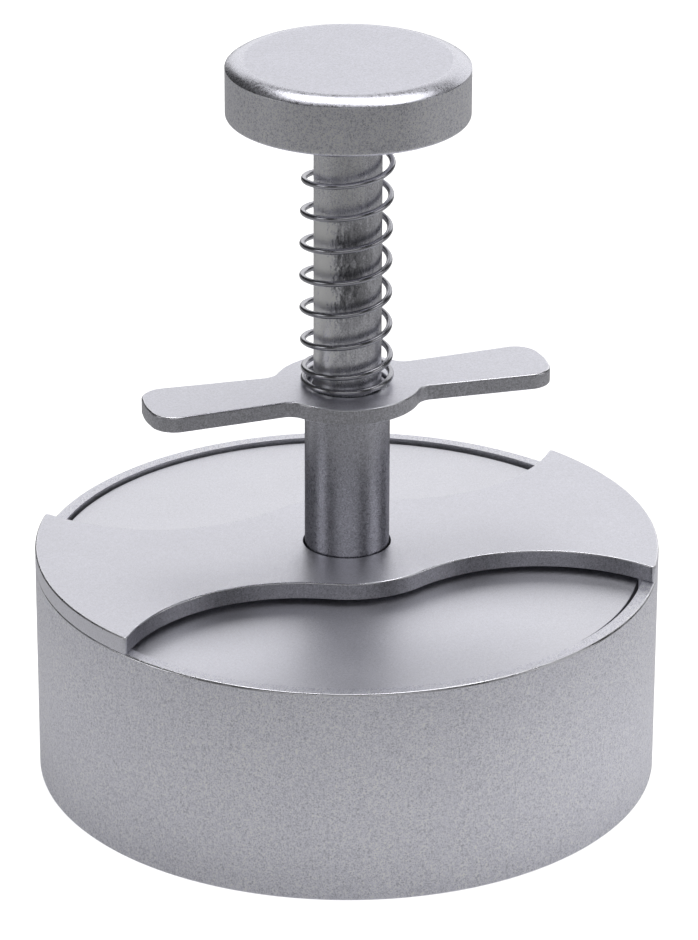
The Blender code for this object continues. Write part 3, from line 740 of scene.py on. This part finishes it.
# ----------------------------------------------------------------- plate screw
def screw_profile():
    """Countersunk head, plain neck, then thread crests and roots."""
    points = [(0.0, P, 0.0, 1, False), (4.7 * MM, P, 0.12 * MM, 2, True), (2.4 * MM, P + 2.3 * MM, 0.1 * MM, 2, False)]
    z = P + 4.0 * MM
    while z < P + 15.2 * MM:
        points.append((2.4 * MM, z, 0.05 * MM, 1, False))
        points.append((2.02 * MM, z + 0.4 * MM, 0.05 * MM, 1, False))
        z += 0.8 * MM
    points += [(2.1 * MM, P + 15.7 * MM, 0.1 * MM, 2, False), (1.8 * MM, P + 16.0 * MM, 0.1 * MM, 2, False), (0.0, P + 16.0 * MM, 0.0, 1, False)]
    return points


screw = turned("plate_screw_fine", screw_profile(), 72, (FIXING_STEEL, EDGE_BRIGHT), closed=False)
screw.modifiers.clear()
drill(screw, 1.7 * MM, P - 1 * MM, P + 1.6 * MM, sides=6)
smooth(screw)
settle(screw, "plunger", "plate_screw")

# ------------------------------------------------------------------ stop ring
stop_mesh = bmesh.new()
rows = []
for k in range(120):
    a = math.tau * k / 120
    rows.append([
        stop_mesh.verts.new((
            (8.6 * MM + 0.75 * MM * math.cos(b)) * math.cos(a),
            (8.6 * MM + 0.75 * MM * math.cos(b)) * math.sin(a),
            38.9 * MM + 0.75 * MM * math.sin(b),
        ))
        for b in [math.tau * j / 24 for j in range(24)]
    ])
for k in range(120):
    for j in range(24):
        n, m = (k + 1) % 120, (j + 1) % 24
        stop_mesh.faces.new((rows[k][j], rows[n][j], rows[n][m], rows[k][m]))
bmesh.ops.recalc_face_normals(stop_mesh, faces=stop_mesh.faces)
mesh = bpy.data.meshes.new("stop_o_ring_fine")
stop_mesh.to_mesh(mesh)
stop_mesh.free()
stop = smooth(new_object("stop_o_ring_fine", mesh, STOP_RUBBER), sharp=80, weighted=False)
settle(stop, "plunger", "stop_o_ring")

# ------------------------------------------------------------------------ knob
K, KR, KT = 130.75 * MM, 22.55 * MM, 10.75 * MM
CROWN, CROWN_TURN = 5.86 * MM, math.radians(40.4)
crown = arc((KR - CROWN * math.sin(CROWN_TURN), K + KT - CROWN), CROWN, math.pi / 2, math.pi / 2 - CROWN_TURN, 14)
knob = turned(
    "press_knob_fine",
    [
        (0.0, K + KT, 0.0, 1, False),
        *[(r, z, 0.0, 1, False) for r, z in crown[:-1]],
        (KR, crown[-1][1], 0.14 * MM, 4, True),
        (KR, K, 0.6 * MM, 5, False),
        (3.3 * MM, K, 0.15 * MM, 2, False),
        (3.3 * MM, K + 5.9 * MM, 0.1 * MM, 2, False),
        (0.0, K + 5.9 * MM, 0.0, 1, False),
    ],
    288,
    (KNOB_SATIN, EDGE_BRIGHT),
    closed=False,
    split=8,
)
# The knob's side gets a brighter copy of its satin: painted light on the side.
paint(knob, KNOB_SIDE_LIT, lambda r, z, n: r > KR - 0.2 * MM and abs(n.z) < 0.3)
paint(knob, KNOB_CROWN, lambda r, z, n: r > KR - 3.7 * MM and 0.5 < n.z < 0.9995 and z > K + 5 * MM)
settle(knob, "plunger", "press_knob")

# -------------------------------------------------------------- thrust washer
washer = turned(
    "spring_top_washer_fine",
    [
        (9.6 * MM, 130.45 * MM, 0.15 * MM, 3, False),
        (9.6 * MM, 129.65 * MM, 0.15 * MM, 3, False),
        (6.7 * MM, 129.65 * MM, 0.1 * MM, 2, False),
        (6.7 * MM, 130.45 * MM, 0.1 * MM, 2, False),
    ],
    128,
    (FIXING_STEEL,),
)
settle(washer, "thrust_washer", "spring_top_washer")

# --------------------------------------------------------------- return spring
WIRE, COIL = 0.575 * MM, 8.08 * MM
OPEN_PITCH, CLOSED_PITCH = 6.35 * MM, 1.2 * MM
LOW_END, HIGH_END = (0.10, 2.10), (0.62, 1.35)
SPRING_LOW, SPRING_HIGH = 78.775 * MM, 128.775 * MM
VIEW_RIGHT = Vector((math.cos(math.radians(-17.7)), math.sin(math.radians(-17.7)), 0.0))


def opened(turns, end):
    """How much of a turn is open, from a closed end."""
    first, last = end
    span = last - first
    u = min(max((turns - first) / span, 0.0), 1.0)
    return span * (u**3 - u**4 / 2) + max(turns - last, 0.0)


def end_rise(turns, end):
    return CLOSED_PITCH * turns + (OPEN_PITCH - CLOSED_PITCH) * opened(turns, end)


ends_rise = end_rise(LOW_END[1], LOW_END) + end_rise(HIGH_END[1], HIGH_END)
total_turns = LOW_END[1] + HIGH_END[1] + (SPRING_HIGH - SPRING_LOW - ends_rise) / OPEN_PITCH
sections, sides = round(total_turns * 84), 20


def spring_at(turns):
    """Centre line: it leans a little about the rod, within its clearance."""
    if turns <= total_turns / 2:
        z = SPRING_LOW + end_rise(turns, LOW_END)
    else:
        z = SPRING_HIGH - end_rise(total_turns - turns, HIGH_END)
    angle = math.radians(120.0) + math.tau * turns
    t = (z - SPRING_LOW) / (SPRING_HIGH - SPRING_LOW)
    lean = (-1.85 * t + 2.3 * t**2) * MM
    z -= 0.22 * MM * max(0.0, 1 - turns / 3)
    radius = COIL + 0.16 * MM * max(0.0, 1 - turns)
    return Vector((radius * math.cos(angle), radius * math.sin(angle), z)) + VIEW_RIGHT * lean


def open_share(turns):
    whole = opened(total_turns / 2, LOW_END) + opened(total_turns / 2, HIGH_END)
    if turns <= total_turns / 2:
        return opened(turns, LOW_END) / whole
    return 1 - opened(total_turns - turns, HIGH_END) / whole


shape = bmesh.new()
loops, weights = [], []
for i in range(sections + 1):
    turns = total_turns * i / sections
    here = spring_at(turns)
    step = 1e-3
    ahead = (spring_at(min(turns + step, total_turns)) - spring_at(max(turns - step, 0.0))).normalized()
    out = Vector((here.x, here.y, 0.0)).normalized()
    up = ahead.cross(out).normalized()
    out = up.cross(ahead).normalized()
    radii = [WIRE]
    if i in (0, sections):
        radii = [WIRE * 0.82] if i else [WIRE * 0.82]
    for radius in radii:
        loops.append([
            shape.verts.new(here + out * (radius * math.cos(math.tau * j / sides)) + up * (radius * math.sin(math.tau * j / sides)))
            for j in range(sides)
        ])
        weights.append(open_share(turns))
for a, b in zip(loops, loops[1:]):
    for j in range(sides):
        m = (j + 1) % sides
        shape.faces.new((a[j], a[m], b[m], b[j]))
shape.faces.new(loops[0])
shape.faces.new(loops[-1])
bmesh.ops.recalc_face_normals(shape, faces=shape.faces)
mesh = bpy.data.meshes.new("return_spring_fine")
shape.to_mesh(mesh)
shape.free()
spring = smooth(new_object("return_spring_fine", mesh, SPRING_STEEL), sharp=40, weighted=False)
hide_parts("return_spring")
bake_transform(spring)

# ------------------------------------------------------------------ small pieces
set_screw = bmesh.new()
bmesh.ops.create_cone(set_screw, cap_ends=True, segments=48, radius1=0.75 * MM, radius2=0.75 * MM, depth=5.7 * MM)
bmesh.ops.rotate(set_screw, cent=(0, 0, 0), matrix=Matrix.Rotation(math.pi / 2, 3, "X"), verts=set_screw.verts)
bmesh.ops.translate(set_screw, vec=(0.0, 10.65 * MM, 76.4 * MM), verts=set_screw.verts)
bmesh.ops.bevel(set_screw, geom=[e for e in set_screw.edges if abs(e.verts[0].co.y - e.verts[1].co.y) < 1e-7], offset=0.12 * MM, segments=3, affect="EDGES")
mesh = bpy.data.meshes.new("wing_set_screw_fine")
set_screw.to_mesh(mesh)
set_screw.free()
grub = new_object("wing_set_screw_fine", mesh, FIXING_STEEL)
drill(grub, 0.42 * MM, 12.6 * MM, 15.0 * MM, axis="Y", z=76.4 * MM, sides=6)
smooth(grub)
settle(grub, "frame", "wing_set_screw")

for name in ("rim_pin_1", "rim_pin_2", "rim_pin_3", "rim_pin_4", "knob_stud"):
    NODES[name].data.materials.clear()
    NODES[name].data.materials.append(FIXING_STEEL)
for name, finish in (
    ("mould_ring", RING_SATIN), ("bridge_plate", BRIDGE_SATIN), ("wing_grip", WING_SATIN),
    ("guide_sleeve", SLEEVE_SATIN), ("sleeve_lock_ring", FIXING_STEEL), ("plunger_rod", ROD_WORN_PAINTED_LIGHT),
    ("press_plate", PLATE_SATIN), ("plate_screw", FIXING_STEEL), ("stop_o_ring", STOP_RUBBER),
    ("press_knob", KNOB_SATIN), ("spring_top_washer", FIXING_STEEL), ("return_spring", SPRING_STEEL),
    ("wing_set_screw", FIXING_STEEL),
):
    NODES[name].data.materials.clear()
    NODES[name].data.materials.append(finish)

# ----------------------------------------------------------------- studio stage
AZ, EL = math.radians(-17.7), math.radians(23.98)
BACK = Vector((math.sin(AZ) * math.cos(EL), -math.cos(AZ) * math.cos(EL), math.sin(EL)))
RIGHT = Vector((math.cos(AZ), math.sin(AZ), 0.0))
AWAY = Vector((-math.sin(AZ), math.cos(AZ), 0.0))
FLOOR_NEAR, FLOOR_FAR, FLOOR_TURN = 0.76, 0.44, 0.21

# The floor is plain and pale.  Away from the press it looks brighter than the metal
# mirrors it: for bounced light its colour is painted duller farther out and toward
# the front, a little brighter to the right, and it glows as a painted fill light.
floor_f = Finish("studio_floor", metallic=0.0, specular=0.1)
seen = floor_f.node("ShaderNodeLightPath").outputs["Is Camera Ray"]
reach = floor_f.node("ShaderNodeVectorMath", operation="LENGTH")
floor_f.feed(reach.inputs[0], floor_f.place)
toward = floor_f.node("ShaderNodeVectorMath", operation="NORMALIZE")
floor_f.feed(toward.inputs[0], floor_f.place)
rearward = floor_f.node("ShaderNodeVectorMath", operation="DOT_PRODUCT")
floor_f.feed(rearward.inputs[0], toward.outputs["Vector"])
rearward.inputs[1].default_value = AWAY
fibre = floor_f.spread(floor_f.noise(1.5 * MM, detail=2.0), 0.3, 0.7, 0.995, 1.005)
sideward = floor_f.node("ShaderNodeVectorMath", operation="DOT_PRODUCT")
floor_f.feed(sideward.inputs[0], toward.outputs["Vector"])
sideward.inputs[1].default_value = RIGHT
right_more = floor_f.math("ADD", 1.0, floor_f.math("MULTIPLY", sideward.outputs["Value"], 0.14))
far = floor_f.math("ADD", FLOOR_FAR, floor_f.math("MULTIPLY", rearward.outputs["Value"], FLOOR_TURN))
out_from = floor_f.spread(reach.outputs["Value"], 0.09, 0.26, 0.0, 1.0, smooth=True)
bounced = floor_f.math("ADD", floor_f.math("MULTIPLY", far, out_from), floor_f.math("MULTIPLY", floor_f.math("SUBTRACT", 1.0, out_from), FLOOR_NEAR))
bounced = floor_f.math("MULTIPLY", bounced, right_more)
shown = floor_f.math("ADD", floor_f.math("MULTIPLY", seen, 0.92), floor_f.math("MULTIPLY", floor_f.math("SUBTRACT", 1.0, seen), bounced))
glow = floor_f.spread(reach.outputs["Value"], 0.07, 0.20, 0.86, 0.92, smooth=True)
floor_f.shader.inputs["Emission Color"].default_value = (1.0, 1.0, 1.0, 1.0)
# painted fill light: for bounced light only the floor glows, most near the press and a little more on the left far out
leftness = floor_f.math("MAXIMUM", floor_f.math("MULTIPLY", sideward.outputs["Value"], -1.0), 0.0)
fill_far = floor_f.math("ADD", 0.070, floor_f.math("MULTIPLY", leftness, 0.04))
fill = floor_f.math("ADD", floor_f.math("MULTIPLY", floor_f.math("SUBTRACT", 1.0, out_from), 0.235), floor_f.math("MULTIPLY", out_from, fill_far))
fill = floor_f.math("MULTIPLY", fill, floor_f.math("SUBTRACT", 1.0, seen))
floor_f.feed(floor_f.shader.inputs["Emission Strength"], floor_f.math("ADD", floor_f.math("MULTIPLY", seen, glow), fill))
floor_material = floor_f.done(
    floor_f.shade((1.0, 1.0, 1.0), floor_f.math("MULTIPLY", shown, fibre)), 0.9
)
shape = bmesh.new()
bmesh.ops.create_circle(shape, cap_ends=True, segments=96, radius=3.0)
mesh = bpy.data.meshes.new("studio_floor")
shape.to_mesh(mesh)
shape.free()
floor = new_object("studio_floor", mesh, floor_material)
floor.location = (0.0, 0.0, -0.00003)


def panel(name, position, aim, width, height, radiance, tint=(1.0, 1.0, 1.0)):
    light = bpy.data.lights.new(name, "AREA")
    light.shape = "RECTANGLE"
    light.size, light.size_y = width, height
    light.energy = radiance * math.pi * width * height
    light.color = tint
    obj = bpy.data.objects.new(name, light)
    bpy.context.scene.collection.objects.link(obj)
    obj.location = position
    obj.rotation_euler = (Vector(aim) - Vector(position)).to_track_quat("-Z", "Y").to_euler()
    obj.visible_camera = False
    return obj


MIDDLE = Vector((0.0, 0.0, 0.07))
panel("overhead", AWAY * 0.20 + RIGHT * 0.06 + Vector((0, 0, 0.78)), MIDDLE, 0.7, 0.36, 2.7)
panel("sweep", AWAY * 1.15 + RIGHT * 0.22 + Vector((0, 0, 0.48)), MIDDLE, 1.5, 0.9, 0.93)
panel("right_side", RIGHT * 0.85 + AWAY * -0.15 + Vector((0, 0, 0.36)), MIDDLE, 0.5, 0.5, 0.80)
panel("front_fill", AWAY * -1.15 + Vector((0, 0, 0.55)), MIDDLE, 1.4, 0.8, 0.50)
panel("left_side", RIGHT * -0.85 + AWAY * -0.28 + Vector((0, 0, 0.34)), MIDDLE, 0.4, 0.4, 1.10)

world = bpy.data.worlds.new("studio")
bpy.context.scene.world = world
world.use_nodes = True
sky = world.node_tree.nodes["Background"]
path = world.node_tree.nodes.new("ShaderNodeLightPath")
strength = world.node_tree.nodes.new("ShaderNodeMapRange")
world.node_tree.links.new(path.outputs["Is Camera Ray"], strength.inputs["Value"])
strength.inputs["To Min"].default_value = 0.045
strength.inputs["To Max"].default_value = 0.95
world.node_tree.links.new(strength.outputs["Result"], sky.inputs["Strength"])
sky.inputs["Color"].default_value = (1.0, 1.0, 1.0, 1.0)

camera_data = bpy.data.cameras.new("photo_view")
camera_data.lens = 189.4
camera_data.sensor_width = 36.0
camera_data.clip_start = 0.01
camera_data.clip_end = 20.0
camera = bpy.data.objects.new("photo_view", camera_data)
bpy.context.scene.collection.objects.link(camera)
aim = Vector((0.0, 0.0, 59.77 * MM)) + RIGHT * (0.353 * MM)
camera.location = aim + BACK * 0.931
camera.rotation_mode = "QUATERNION"
camera.rotation_quaternion = (aim - camera.location).to_track_quat("-Z", "Y") @ Matrix.Rotation(math.radians(0.19), 3, "Z").to_quaternion()
bpy.context.scene.camera = camera
bpy.context.scene.view_settings.view_transform = "Standard"
